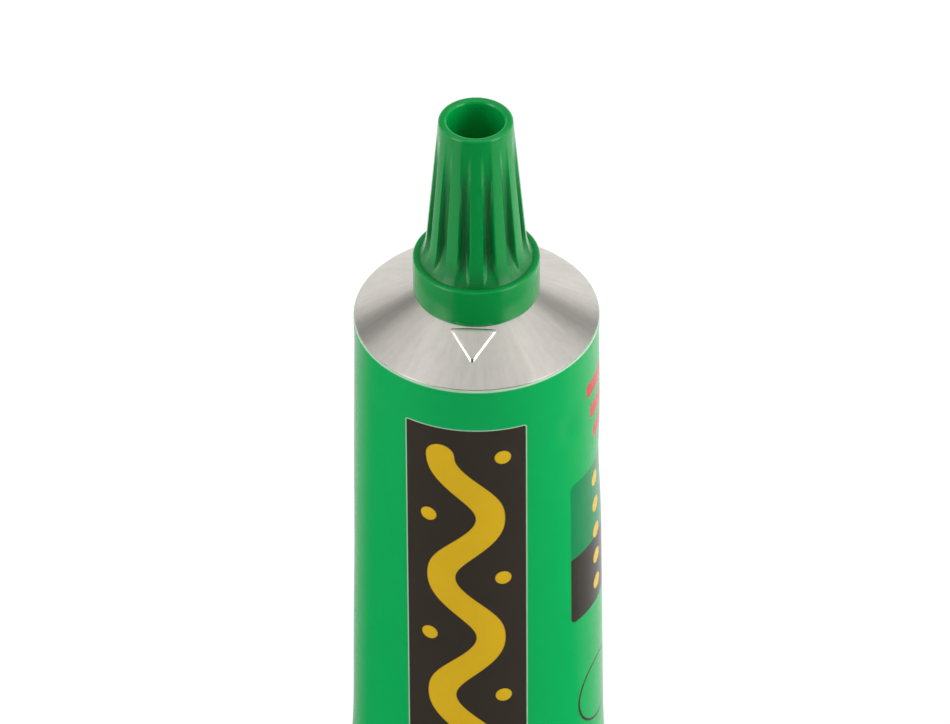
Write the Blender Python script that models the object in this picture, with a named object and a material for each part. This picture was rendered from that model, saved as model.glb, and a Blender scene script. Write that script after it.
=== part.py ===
"""Collapsible aluminium glue tube with a fluted, hollow-ended screw cap.

Metres, +Z up along the tube. The tube stands on its folded tail, with the middle of the tail's
lower edge at the origin and the cap on top. The tail fold runs along X and the front faces -Y.
"""

import math

import bmesh
import bpy
import numpy as np

# Tube: one aluminium extrusion, a thin sleeve with a thicker shoulder, neck and nozzle
TUBE_DIAMETER = 0.0250
SLEEVE_TOP = 0.0950
SLEEVE_WALL = 0.00015
SHOULDER_WALL = 0.0006
SHOULDER_SLOPE = math.radians(29)
SHOULDER_ROUND = 0.0008
NECK_DIAMETER = 0.0090
NECK_BORE = 0.0066
NECK_LENGTH = 0.0036
NECK_EDGE = 0.0003
NOZZLE_DIAMETER = 0.0054
NOZZLE_BORE = 0.0030
NOZZLE_LENGTH = 0.0050
THREAD_PITCH = 0.0015
THREAD_DEPTH = 0.0005
THREAD_COLLAR = 0.0003

# Raised triangle on the shoulder, one corner pointing down the slope
MARK_SIDE = 0.0047
MARK_RISE = 0.0004
MARK_DRAFT = math.radians(42)
MARK_SINK = 0.0002
MARK_START = 0.0066
MARK_TURN = math.radians(3.4)

# Tail: the sleeve flattens towards its end, which is rolled over twice
FLATTEN_POWER = 4.0
FOLD_HEIGHT = 0.0050
FOLD_PLAY = 0.0001
NIP_WIDTH = 0.0002

# Screw cap: a skirt round the neck, a fluted taper above it and an open end with a piercing spike
CAP_HEIGHT = 0.0216
SKIRT_DIAMETER = 0.01295
SKIRT_HEIGHT = 0.0043
SKIRT_EDGE = 0.0003
TAPER_ANGLE = math.radians(5.1)
TIP_DIAMETER = 0.00752
FLARE_HEIGHT = 0.0018
FLARE_REACH = 0.0003
FLARE_POWER = 2.0
FLUTE_COUNT = 12
FLUTE_DEPTH = 0.00075
FLUTE_RUNOUT = 0.0036
FLUTE_FADE = 0.7
FLUTE_TOP_BAND = 0.0012
RIDGE_SHARE = 0.5
CAP_REST_TURN = math.radians(6)
MOUTH_DIAMETER = 0.00595
MOUTH_DRAFT = math.radians(0.8)
LIP_OUTER_ROUND = 0.0006
LIP_INNER_ROUND = 0.0001
SEPTUM_THICKNESS = 0.0012
SPIKE_HEIGHT = 0.0042
SPIKE_DIAMETER = 0.0018

# Inner pieces
MEMBRANE_THICKNESS = 0.00015
MEMBRANE_DIAMETER = 0.0046
LINER_THICKNESS = 0.0010
SEALANT_HEIGHT = 0.0030
SEALANT_EDGE = 0.0004
DISC_CHAMFER_SHARE = 0.25

# Clearances
SEAT_GAP = 0.0003
THREAD_GAP = 0.0003

# Facets: counts, how strongly the sleeve's rings crowd towards the fold, and what is shaded sharp
TUBE_SEGMENTS = 48
SLEEVE_STATIONS = 13
GEL_STATIONS = 10
ROUND_STEPS = 3
FOLD_STEPS = 6
RUNOUT_STEPS = 6
FLUTE_STATIONS = 5
THREAD_STEPS = 12
MARK_STEPS = 6
OVAL_SAMPLES = 2880
STATION_CROWDING = 1.5
SHARP_ANGLE = math.radians(35)

# Derived places, shared by the pieces that meet there
TUBE_RADIUS = TUBE_DIAMETER / 2
INNER_RADIUS = TUBE_RADIUS - SLEEVE_WALL
SKIRT_RADIUS = SKIRT_DIAMETER / 2
NECK_RADIUS = NECK_DIAMETER / 2
NOZZLE_RADIUS = NOZZLE_DIAMETER / 2
SHEET = 2 * SLEEVE_WALL
SHOULDER_RISE = math.tan(SHOULDER_SLOPE)
CONE_FOOT = SLEEVE_TOP + SHOULDER_ROUND * math.tan((math.pi / 2 - SHOULDER_SLOPE) / 2)


def shoulder_height(radius):
    """Height of the shoulder's outer cone at a radius."""
    return CONE_FOOT + (TUBE_RADIUS - radius) * SHOULDER_RISE


NECK_FOOT = shoulder_height(NECK_RADIUS)
NECK_TOP = NECK_FOOT + NECK_LENGTH
NOZZLE_TOP = NECK_TOP + NOZZLE_LENGTH
MEMBRANE_BASE = NOZZLE_TOP + SEAT_GAP
LINER_BASE = MEMBRANE_BASE + MEMBRANE_THICKNESS + SEAT_GAP
SEPTUM_BASE = LINER_BASE + LINER_THICKNESS + SEAT_GAP
CAP_BASE = shoulder_height(SKIRT_RADIUS) + SEAT_GAP
CAP_BORE_RADIUS = NOZZLE_RADIUS + THREAD_GAP
THREAD_BORE_RADIUS = NECK_RADIUS + THREAD_GAP


def clear_scene():
    for old in list(bpy.data.objects):
        bpy.data.objects.remove(old, do_unlink=True)


def finish_material(name, colour, roughness, metallic):
    """One plain Principled finish."""
    made = bpy.data.materials.new(name)
    made.use_nodes = True
    shader = made.node_tree.nodes["Principled BSDF"]
    shader.inputs["Base Color"].default_value = (*colour, 1.0)
    shader.inputs["Roughness"].default_value = roughness
    shader.inputs["Metallic"].default_value = metallic
    return made


def loft(name, rings, finish, base=0.0):
    """Skin a row of rings into one closed body. A ring of one point is a pole.

    The rings are given in world places; the object's origin sits on the tube's axis at base.
    """
    mesh = bmesh.new()
    rows = [[mesh.verts.new((x, y, z - base)) for x, y, z in ring] for ring in rings]
    for low, high in zip(rows, rows[1:]):
        for k in range(max(len(low), len(high))):
            n = k + 1
            if len(low) == 1:
                corners = (low[0], high[n % len(high)], high[k])
            elif len(high) == 1:
                corners = (low[k], low[n % len(low)], high[0])
            else:
                corners = (low[k], low[n % len(low)], high[n % len(high)], high[k])
            mesh.faces.new(corners)
    for end in (rows[0], rows[-1]):
        if len(end) > 1:
            mesh.faces.new(end)
    bmesh.ops.recalc_face_normals(mesh, faces=mesh.faces)
    data = bpy.data.meshes.new(name)
    mesh.to_mesh(data)
    mesh.free()
    data.shade_smooth()
    data.set_sharp_from_angle(angle=SHARP_ANGLE)
    data.materials.append(finish)
    made = bpy.data.objects.new(name, data)
    made.location = (0.0, 0.0, base)
    bpy.context.scene.collection.objects.link(made)
    return made


def join(base, added):
    """Make one body of two that overlap, with the edges between them shaded sharp."""
    union = base.modifiers.new(added.name, "BOOLEAN")
    union.operation = "UNION"
    union.object = added
    graph = bpy.context.evaluated_depsgraph_get()
    data = bpy.data.meshes.new_from_object(base.evaluated_get(graph))
    base.modifiers.remove(union)
    base.data = data
    data.set_sharp_from_angle(angle=SHARP_ANGLE)
    bpy.data.objects.remove(added, do_unlink=True)


def rounded(corners, steps=ROUND_STEPS):
    """Turn (radius, height, round) corners into a profile with an arc at each rounded corner."""
    points = []
    for index, (x, z, size) in enumerate(corners):
        if not size:
            points.append((x, z))
            continue
        here = np.array((x, z))
        to_last = np.array(corners[index - 1][:2]) - here
        to_next = np.array(corners[index + 1][:2]) - here
        to_last /= np.linalg.norm(to_last)
        to_next /= np.linalg.norm(to_next)
        half = math.acos(np.clip(to_last @ to_next, -1.0, 1.0)) / 2
        middle = to_last + to_next
        centre = here + middle / np.linalg.norm(middle) * size / math.sin(half)
        start = here + to_last * size / math.tan(half) - centre
        end = here + to_next * size / math.tan(half) - centre
        sweep = math.atan2(start[0] * end[1] - start[1] * end[0], start @ end)
        for step in range(steps + 1):
            turn = sweep * step / steps
            along = start[0] * math.cos(turn) - start[1] * math.sin(turn)
            up = start[0] * math.sin(turn) + start[1] * math.cos(turn)
            points.append((centre[0] + along, centre[1] + up))
    return points


def circle(radius, height, segments=TUBE_SEGMENTS):
    """A level ring of points round the tube's axis."""
    turns = [2 * math.pi * k / segments for k in range(segments)]
    return [(radius * math.cos(t), radius * math.sin(t), height) for t in turns]


def threaded(ring):
    """Cut the right-hand thread into a ring; the cap's bore takes the same cut, so the two mesh."""
    cut = []
    for x, y, z in ring:
        phase = 2 * math.pi * z / THREAD_PITCH - math.atan2(y, x)
        share = 1 - THREAD_DEPTH * (1 - math.cos(phase)) / 2 / math.hypot(x, y)
        cut.append((x * share, y * share, z))
    return cut


def thread_heights(low, high):
    """Heights of the rings that carry a thread, from low to high."""
    count = math.ceil((high - low) / THREAD_PITCH * THREAD_STEPS)
    return [low + (high - low) * k / count for k in range(count + 1)]


def ellipse_length(wide, thin):
    """Ramanujan's length of an ellipse from its two half-widths."""
    h = ((wide - thin) / (wide + thin)) ** 2
    return math.pi * (wide + thin) * (1 + 3 * h / (10 + math.sqrt(4 - 3 * h)))


def half_widths(flattening):
    """Half-widths of the sleeve's bore, whose length round stays the same as it flattens."""
    thin = max(INNER_RADIUS * (1 - flattening), INNER_RADIUS * 1e-6)
    low, high = INNER_RADIUS, INNER_RADIUS * math.pi / 2 * 1.01
    for _ in range(60):
        wide = (low + high) / 2
        if ellipse_length(wide, thin) < 2 * math.pi * INNER_RADIUS:
            low = wide
        else:
            high = wide
    return wide, thin


def oval(wide, thin, outset=0.0):
    """Points spaced evenly along an ellipse, each moved square to it by outset."""
    fine = np.linspace(0.0, 2 * math.pi, OVAL_SAMPLES + 1)
    x = wide * np.cos(fine)
    y = thin * np.sin(fine)
    run = np.concatenate(([0.0], np.cumsum(np.hypot(np.diff(x), np.diff(y)))))
    wanted = np.arange(TUBE_SEGMENTS) / TUBE_SEGMENTS * run[-1]
    turns = np.interp(wanted, run, fine)
    normal = np.stack((thin * np.cos(turns), wide * np.sin(turns)))
    normal /= np.linalg.norm(normal, axis=0)
    across = wide * np.cos(turns) + outset * normal[0]
    deep = thin * np.sin(turns) + outset * normal[1]
    return list(zip(across, deep))


def sleeve_station(share):
    """Height of the sleeve at a share of the way from shoulder to fold, and how flat it is there."""
    return SLEEVE_TOP - share * (SLEEVE_TOP - FOLD_HEIGHT), share**FLATTEN_POWER


def sleeve_share(thin):
    """Share of the way to the fold at which the bore's thin half-width has a given size."""
    return (1 - thin / INNER_RADIUS) ** (1 / FLATTEN_POWER)


def sleeve_ring(share, outset):
    """One ring of the sleeve, set out from the bore by the wall or by nothing."""
    height, flattening = sleeve_station(share)
    return [(x, y, height) for x, y in oval(*half_widths(flattening), outset)]


def filling_ring(share):
    """One ring of what fills the sleeve, clear of its wall by the seat gap all round."""
    height, flattening = sleeve_station(share)
    wide, thin = half_widths(flattening)
    reach = min(wide - SEAT_GAP, wide * math.sqrt(1 - SEAT_GAP / thin))
    return [(x, y, height) for x, y in oval(reach, thin - SEAT_GAP)]


def fold_path():
    """The flat tail's route in Y and Z with its heading: down, up behind and down between."""
    pitch = SHEET + FOLD_PLAY
    lower = pitch + SHEET / 2
    upper = FOLD_HEIGHT - SHEET - pitch / 2
    path = [(0.0, lower, -math.pi / 2)]
    for step in range(1, FOLD_STEPS + 1):
        turn = -math.pi / 2 + math.pi * step / FOLD_STEPS
        path.append((pitch + pitch * math.sin(turn), lower - pitch * math.cos(turn), turn))
    for step in range(FOLD_STEPS + 1):
        turn = math.pi / 2 + math.pi * step / FOLD_STEPS
        path.append((1.5 * pitch + pitch / 2 * math.sin(turn), upper - pitch / 2 * math.cos(turn), turn))
    path.append((pitch, lower + SHEET, -math.pi / 2))
    return path


def fold_rings():
    """The flattened sleeve carried along the fold's route."""
    flat = oval(*half_widths(1.0), SLEEVE_WALL)
    rings = []
    for depth, height, heading in fold_path():
        across_y = -math.sin(heading)
        across_z = math.cos(heading)
        rings.append([(x, depth + y * across_y, height + y * across_z) for x, y in flat])
    return rings


def on_shoulder(across, down, lift):
    """Place of a point given on the shoulder's unrolled cone, down the slope from the mark's start."""
    level = math.cos(SHOULDER_SLOPE)
    start = MARK_START / level
    slant = math.hypot(start + down, across)
    turn = math.atan2(across, start + down) / level + MARK_TURN - math.pi / 2
    radius = slant * level + lift * math.sin(SHOULDER_SLOPE)
    height = shoulder_height(slant * level) + lift * level
    return radius * math.cos(turn), radius * math.sin(turn), height


def mark_ring(inset, lift):
    """The triangle's outline drawn in from its base by inset, with points along each side."""
    middle = MARK_SIDE / (2 * math.sqrt(3))
    share = 1 - inset / middle
    corners = [(-MARK_SIDE / 2, 0.0), (0.0, 3 * middle), (MARK_SIDE / 2, 0.0)]
    ring = []
    for start, end in zip(corners, corners[1:] + corners[:1]):
        for step in range(MARK_STEPS):
            along = step / MARK_STEPS
            across = start[0] + (end[0] - start[0]) * along
            down = start[1] + (end[1] - start[1]) * along
            ring.append(on_shoulder(across * share, middle + (down - middle) * share, lift))
    return ring


def make_mark(finish):
    """The raised triangle, sunk a little into the shoulder so that it can be joined to it."""
    middle = MARK_SIDE / (2 * math.sqrt(3))
    lean = math.tan(MARK_DRAFT)
    flat = MARK_RISE * lean
    rings = [
        [on_shoulder(0.0, middle, -MARK_SINK)],
        mark_ring(-MARK_SINK * lean, -MARK_SINK),
        mark_ring(flat, MARK_RISE),
        mark_ring((flat + middle) / 2, MARK_RISE),
        [on_shoulder(0.0, middle, MARK_RISE)],
    ]
    return loft("triangle_mark", rings, finish)


def make_tube(finish):
    """Bore from the tail's nip up to the nozzle, then the outside back down into the rolled fold."""
    shares = [1 - (1 - k / SLEEVE_STATIONS) ** STATION_CROWDING for k in range(SLEEVE_STATIONS + 1)]
    bore = [sleeve_ring(s, 0.0) for s in [*shares[1:-1], sleeve_share(NIP_WIDTH / 2)]]
    drop = SHOULDER_WALL / math.cos(SHOULDER_SLOPE)
    inside = [
        (INNER_RADIUS, shoulder_height(INNER_RADIUS) - drop),
        (NECK_BORE / 2, shoulder_height(NECK_BORE / 2) - drop),
        (NECK_BORE / 2, NECK_TOP - SHOULDER_WALL),
        (NOZZLE_BORE / 2, NECK_TOP + (NECK_BORE - NOZZLE_BORE) / 2 - SHOULDER_WALL),
        (NOZZLE_BORE / 2, NOZZLE_TOP),
    ]
    nozzle = rounded(
        [
            (NOZZLE_BORE / 2, NOZZLE_TOP, 0),
            (NOZZLE_RADIUS, NOZZLE_TOP, NECK_EDGE),
            (NOZZLE_RADIUS, NECK_TOP, 0),
        ]
    )
    neck = rounded(
        [
            (NOZZLE_RADIUS, NECK_TOP, 0),
            (NECK_RADIUS, NECK_TOP, NECK_EDGE),
            (NECK_RADIUS, NECK_FOOT, 0),
        ]
    )
    cone = rounded(
        [
            (NECK_RADIUS, NECK_FOOT, 0),
            (TUBE_RADIUS, CONE_FOOT, SHOULDER_ROUND),
            (TUBE_RADIUS, SLEEVE_TOP - SHOULDER_ROUND, 0),
        ]
    )
    thread = thread_heights(NECK_FOOT + THREAD_COLLAR, NECK_TOP - NECK_EDGE)
    rings = bore[::-1]
    rings += [circle(r, z) for r, z in [*inside, *nozzle[1:]]]
    rings += [threaded(circle(r, z)) for r, z in neck[1:-1]]
    rings += [threaded(circle(NECK_RADIUS, z)) for z in thread[-2:0:-1]]
    rings += [circle(r, z) for r, z in [(NECK_RADIUS, thread[0]), *cone[:-1]]]
    rings += [sleeve_ring(s, SLEEVE_WALL) for s in shares[1:]]
    rings += fold_rings()
    tube = loft("tube_shell", rings, finish)
    join(tube, make_mark(finish))
    return tube


def make_sealant(finish):
    """Sealing compound squeezed into the nip just above the fold."""
    low = sleeve_share(SEAT_GAP + SEALANT_EDGE)
    high = low - SEALANT_HEIGHT / (SLEEVE_TOP - FOLD_HEIGHT)
    rings = [filling_ring(share) for share in (low, (low + high) / 2, high)]
    return loft("tail_sealant", rings, finish)


def make_gel(finish):
    """The adhesive, from the sealant up through the shoulder and neck to the membrane."""
    low = sleeve_share(SEAT_GAP + SEALANT_EDGE)
    low -= (SEALANT_HEIGHT + SEAT_GAP) / (SLEEVE_TOP - FOLD_HEIGHT)
    steps = [(k / GEL_STATIONS) ** STATION_CROWDING for k in range(GEL_STATIONS)]
    rings = [filling_ring(low * (1 - step)) for step in steps]
    drop = (SHOULDER_WALL + SEAT_GAP) / math.cos(SHOULDER_SLOPE)
    column = NECK_BORE / 2 - SEAT_GAP
    thread = NOZZLE_BORE / 2 - SEAT_GAP
    profile = [
        (INNER_RADIUS - SEAT_GAP, shoulder_height(INNER_RADIUS - SEAT_GAP) - drop),
        (column, shoulder_height(column) - drop),
        (column, NECK_TOP - SHOULDER_WALL - SEAT_GAP),
        (thread, NECK_TOP + (NECK_BORE - NOZZLE_BORE) / 2 - SHOULDER_WALL - SEAT_GAP),
        (thread, NOZZLE_TOP),
    ]
    rings += [circle(r, z) for r, z in profile]
    return loft("gel_fill", rings, finish)


def make_disc(name, diameter, base, thickness, finish):
    """A flat round piece on the axis with a small chamfer on both edges."""
    edge = thickness * DISC_CHAMFER_SHARE
    radius = diameter / 2
    profile = [
        (radius - edge, base),
        (radius, base + edge),
        (radius, base + thickness - edge),
        (radius - edge, base + thickness),
    ]
    return loft(name, [circle(r, z) for r, z in profile], finish, base)


def cap_ring(radius, height, depth=0.0):
    """One ring of the cap, scooped in by depth at the middle of every flute."""
    front = CAP_REST_TURN - math.pi / 2
    pitch = 2 * math.pi / FLUTE_COUNT
    spots = []
    for flute in range(FLUTE_COUNT):
        for side in (-1.0, 0.0, 1.0):
            spots.append((flute + side * RIDGE_SHARE / 2, radius))
        for side in (-0.5, 0.0, 0.5):
            scoop = depth * (1 - side**2)
            spots.append((flute + 0.5 + side * (1 - RIDGE_SHARE) / 2, radius - scoop))
    turned = [(front + pitch * place, r) for place, r in spots]
    return [(r * math.cos(t), r * math.sin(t), height) for t, r in turned]


def taper_radius(height):
    """Radius over the cap's ridges at a height above the cap's base, with the flare at their foot."""
    left = max(0.0, 1 - (height - SKIRT_HEIGHT) / FLARE_HEIGHT)
    taper = TIP_DIAMETER / 2 + (CAP_HEIGHT - height) * math.tan(TAPER_ANGLE)
    return taper + FLARE_REACH * left**FLARE_POWER


def fluted_rings():
    """The cap's outside from the skirt's top to the plain band under the lip."""
    rings = []
    deepest = SKIRT_HEIGHT + FLUTE_RUNOUT
    flute_top = CAP_HEIGHT - FLUTE_TOP_BAND
    for step in range(RUNOUT_STEPS):
        share = step / RUNOUT_STEPS
        height = SKIRT_HEIGHT + FLUTE_RUNOUT * share
        rings.append(cap_ring(taper_radius(height), CAP_BASE + height, FLUTE_DEPTH * share))
    for step in range(FLUTE_STATIONS):
        share = step / (FLUTE_STATIONS - 1)
        height = deepest + (flute_top - deepest) * share
        depth = FLUTE_DEPTH * (1 - share) ** FLUTE_FADE
        rings.append(cap_ring(taper_radius(height), CAP_BASE + height, depth))
    return rings


def make_cap(finish):
    """Underside and bores, then the skirt and flutes, then the lip, hollow and spike."""
    top = CAP_BASE + CAP_HEIGHT
    skirt_top = CAP_BASE + SKIRT_HEIGHT
    floor = SEPTUM_BASE + SEPTUM_THICKNESS
    mouth = MOUTH_DIAMETER / 2
    hollow = mouth - (top - floor) * math.tan(MOUTH_DRAFT)
    thread = thread_heights(NECK_FOOT + THREAD_COLLAR + SEAT_GAP, NECK_TOP + SEAT_GAP)
    bore = [(CAP_BORE_RADIUS, SEPTUM_BASE), (CAP_BORE_RADIUS, NECK_TOP + SEAT_GAP)]
    underside = rounded(
        [
            (THREAD_BORE_RADIUS, thread[0], 0),
            (THREAD_BORE_RADIUS, shoulder_height(THREAD_BORE_RADIUS) + SEAT_GAP, 0),
            (SKIRT_RADIUS, CAP_BASE, SKIRT_EDGE),
            (SKIRT_RADIUS, skirt_top, SKIRT_EDGE),
            (taper_radius(SKIRT_HEIGHT), skirt_top, 0),
        ]
    )
    open_end = rounded(
        [
            (taper_radius(CAP_HEIGHT - FLUTE_TOP_BAND), top - FLUTE_TOP_BAND, 0),
            (TIP_DIAMETER / 2, top, LIP_OUTER_ROUND),
            (mouth, top, LIP_INNER_ROUND),
            (hollow, floor, 0),
            (SPIKE_DIAMETER / 2, floor, 0),
        ]
    )
    rings = [cap_ring(r, z) for r, z in bore]
    rings += [threaded(cap_ring(THREAD_BORE_RADIUS, z)) for z in thread[:0:-1]]
    rings += [cap_ring(r, z) for r, z in underside[:-1]]
    rings += fluted_rings()
    rings += [cap_ring(r, z) for r, z in open_end[1:]]
    rings.append([(0.0, 0.0, floor + SPIKE_HEIGHT)])
    return loft("screw_cap", rings, finish, CAP_BASE)


def build():
    clear_scene()
    make_tube(finish_material("enamelled_aluminium", (0.0, 0.37, 0.10), 0.3, 0.2))
    make_cap(finish_material("green_plastic", (0.002, 0.20, 0.04), 0.3, 0.0))
    make_disc(
        "cap_liner",
        2 * (CAP_BORE_RADIUS - SEAT_GAP),
        LINER_BASE,
        LINER_THICKNESS,
        finish_material("liner_foam", (0.85, 0.85, 0.82), 0.6, 0.0),
    )
    make_disc(
        "nozzle_membrane",
        MEMBRANE_DIAMETER,
        MEMBRANE_BASE,
        MEMBRANE_THICKNESS,
        finish_material("thin_aluminium", (0.75, 0.75, 0.74), 0.35, 1.0),
    )
    make_sealant(finish_material("sealing_compound", (0.80, 0.72, 0.52), 0.5, 0.0))
    make_gel(finish_material("clear_gel", (0.85, 0.83, 0.72), 0.15, 0.0))


build()
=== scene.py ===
# %% [markdown]
# # A tube of gel glue
# A soft aluminium tube, enamelled green outside, with a bare shoulder and a fluted green screw cap.
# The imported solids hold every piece's size and motion. This lesson dresses them: it rebuilds the
# pieces that show with finer meshes, gives all of them node materials, and lights them for a
# catalogue picture. All lengths are in metres unless a name ends in MM.

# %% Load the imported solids
import math

import bpy
import numpy as np
from mathutils import Matrix, Vector


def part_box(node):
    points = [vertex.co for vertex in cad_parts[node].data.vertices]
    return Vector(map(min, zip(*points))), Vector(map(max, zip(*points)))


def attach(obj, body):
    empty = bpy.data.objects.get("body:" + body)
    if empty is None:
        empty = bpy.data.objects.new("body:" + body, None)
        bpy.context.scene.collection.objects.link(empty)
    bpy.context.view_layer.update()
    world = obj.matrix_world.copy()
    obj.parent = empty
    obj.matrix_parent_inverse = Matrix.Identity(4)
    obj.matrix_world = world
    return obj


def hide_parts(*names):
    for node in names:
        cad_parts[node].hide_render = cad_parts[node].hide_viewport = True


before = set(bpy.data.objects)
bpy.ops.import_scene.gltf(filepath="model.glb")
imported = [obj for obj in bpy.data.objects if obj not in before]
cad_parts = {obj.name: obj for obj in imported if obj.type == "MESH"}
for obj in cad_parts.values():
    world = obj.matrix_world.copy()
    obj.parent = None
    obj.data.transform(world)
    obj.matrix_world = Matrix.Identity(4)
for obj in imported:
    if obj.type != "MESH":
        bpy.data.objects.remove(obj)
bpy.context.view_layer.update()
MM = 0.001

# %% [markdown]
# ## The camera
# The picture looks down at the shoulder from about 39 degrees with a long lens, so upright edges
# stay nearly parallel. The aim is set by one point: the middle of the shoulder's rim has to fall on
# a known pixel. Blender cameras look along their own -Z, so the three columns of the rotation are
# the picture's right, its up and the way back from the object to the camera.

# %% Camera
SLEEVE_TOP = 95 * MM
PICTURE_WIDTH = 950
PICTURE_HEIGHT = 724
VIEW_AZIMUTH = math.radians(5.9)
VIEW_ELEVATION = math.radians(39.5)
VIEW_ROLL = math.radians(-0.27)
VIEW_DISTANCE = 0.80
PIXELS_PER_METRE = 9784.0
RIM_PIXEL = (476.6, 316.0)

back = Vector((
    math.sin(VIEW_AZIMUTH) * math.cos(VIEW_ELEVATION),
    -math.cos(VIEW_AZIMUTH) * math.cos(VIEW_ELEVATION),
    math.sin(VIEW_ELEVATION),
))
level = Vector((math.cos(VIEW_AZIMUTH), math.sin(VIEW_AZIMUTH), 0.0))
right = Matrix.Rotation(VIEW_ROLL, 3, back) @ level
up = back.cross(right)
lens = bpy.data.cameras.new("camera")
lens.sensor_width = 36.0
lens.lens = lens.sensor_width * PIXELS_PER_METRE * VIEW_DISTANCE / PICTURE_WIDTH
lens.clip_start = 0.01
camera = bpy.data.objects.new("camera", lens)
camera.rotation_mode = "QUATERNION"
camera.rotation_quaternion = Matrix((right, up, back)).transposed().to_quaternion()
camera.location = (
    Vector((0.0, 0.0, SLEEVE_TOP))
    + back * VIEW_DISTANCE
    - right * (RIM_PIXEL[0] - PICTURE_WIDTH / 2) / PIXELS_PER_METRE
    - up * (PICTURE_HEIGHT / 2 - RIM_PIXEL[1]) / PIXELS_PER_METRE
)
bpy.context.scene.collection.objects.link(camera)
bpy.context.scene.camera = camera
print("lens in mm:", round(lens.lens, 1))

# %% [markdown]
# ## Small helpers for meshes
# Everything on this tube is round or was round once, so one helper skins a stack of rings into a
# closed mesh. A ring of one point closes an end to a tip. The helper turns the faces outward by
# looking at the sign of the enclosed volume, which is simpler than asking Blender to guess.

# %% Skin rings into a mesh
SMOOTH_ANGLE = math.radians(32)


def skin(name, rings, joined=False):
    """Closed mesh object through a stack of rings; joined links the last ring to the first."""
    starts = np.cumsum([0] + [len(row) for row in rings])
    points = np.concatenate([np.asarray(row, float).reshape(-1, 3) for row in rings])
    faces = []
    pairs = [(k, k + 1) for k in range(len(rings) - 1)]
    if joined:
        pairs.append((len(rings) - 1, 0))
    for low, high in pairs:
        a, b = starts[low], starts[high]
        count = max(len(rings[low]), len(rings[high]))
        for k in range(count):
            n = (k + 1) % count
            if len(rings[low]) == 1:
                faces.append((a, b + n, b + k))
            elif len(rings[high]) == 1:
                faces.append((a + k, a + n, b))
            else:
                faces.append((a + k, a + n, b + n, b + k))
    if not joined:
        if len(rings[0]) > 1:
            faces.append(tuple(range(len(rings[0])))[::-1])
        if len(rings[-1]) > 1:
            faces.append(tuple(range(starts[-2], starts[-1])))
    volume = sum(
        points[face[0]] @ np.cross(points[face[k]], points[face[k + 1]])
        for face in faces
        for k in range(1, len(face) - 1)
    )
    if volume < 0:
        faces = [face[::-1] for face in faces]
    mesh = bpy.data.meshes.new(name)
    mesh.from_pydata(points.tolist(), [], [tuple(int(i) for i in face) for face in faces])
    mesh.shade_smooth()
    mesh.set_sharp_from_angle(angle=SMOOTH_ANGLE)
    made = bpy.data.objects.new(name, mesh)
    bpy.context.scene.collection.objects.link(made)
    return made


def ring(radius, height, count):
    """Level ring of points round the tube's axis, or one point where the radius is nought."""
    if radius == 0:
        return np.array([(0.0, 0.0, height)])
    turn = np.linspace(0.0, 2 * np.pi, count, endpoint=False)
    return np.stack((radius * np.cos(turn), radius * np.sin(turn), np.full(count, height)), axis=1)


def rounded(corners, steps=5):
    """Profile through (radius, height, round) corners, with an arc at each rounded one."""
    points = []
    for index, (r, z, size) in enumerate(corners):
        here = np.array((r, z))
        if not size:
            points.append(here)
            continue
        before = np.array(corners[index - 1][:2]) - here
        after = np.array(corners[index + 1][:2]) - here
        before /= np.linalg.norm(before)
        after /= np.linalg.norm(after)
        half = math.acos(np.clip(before @ after, -1.0, 1.0)) / 2
        reach = size / math.tan(half)
        for share in np.linspace(0.0, 1.0, steps + 1):
            first = here + before * reach * (1 - share)
            second = here + after * reach * share
            points.append(first * (1 - share) + second * share)
    return points


# %% [markdown]
# ## Helpers for node trees
# Shader and geometry nodes are made the same way in Python: add a node, set its options, and give
# each input either a number or another node's output. The others are short forms for the nodes that
# come up most: sums, products, vectors, ramps from one value to another, noise, and the place of a
# point seen from the tube's axis.


# %% Node helpers
def feed(tree, socket, value):
    """Give an input a plain value or another node's output."""
    if isinstance(value, bpy.types.NodeSocket):
        tree.links.new(value, socket)
    else:
        socket.default_value = value


def add(tree, kind, feeds=None, **options):
    """Add a node; feeds gives each input, by name or number, a value or another node's socket."""
    node = tree.nodes.new(kind)
    for key, value in options.items():
        setattr(node, key, value)
    for key, value in (feeds or {}).items():
        feed(tree, node.inputs[key], value)
    return node


def calc(tree, operation, *values):
    """Output of a Math node."""
    return add(tree, "ShaderNodeMath", dict(enumerate(values)), operation=operation).outputs[0]


def product(tree, first, *others):
    """Output of Math nodes that multiply all the values."""
    for value in others:
        first = calc(tree, "MULTIPLY", first, value)
    return first


def vectors(tree, operation, *values, **feeds):
    """Outputs of a Vector Math node."""
    feeds.update(enumerate(values))
    return add(tree, "ShaderNodeVectorMath", feeds, operation=operation).outputs


def ramp(tree, value, start, end, low=0.0, high=1.0, **options):
    """Output that goes from low to high while the value goes from start to end."""
    feeds = {"Value": value, "From Min": start, "From Max": end, "To Min": low, "To Max": high}
    return add(tree, "ShaderNodeMapRange", feeds, **options).outputs["Result"]


def noise(tree, place, scale, detail):
    """Value of a noise texture at a place."""
    feeds = {"Vector": place, "Scale": scale, "Detail": detail}
    return add(tree, "ShaderNodeTexNoise", feeds).outputs["Fac"]


def from_axis(tree, place):
    """X, Y and Z of a place, its level vector from the tube's axis and the length of that."""
    where = add(tree, "ShaderNodeSeparateXYZ", {0: place}).outputs
    flat = add(tree, "ShaderNodeCombineXYZ", {0: where["X"], 1: where["Y"]}).outputs[0]
    return where, flat, vectors(tree, "LENGTH", flat)["Value"]


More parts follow.
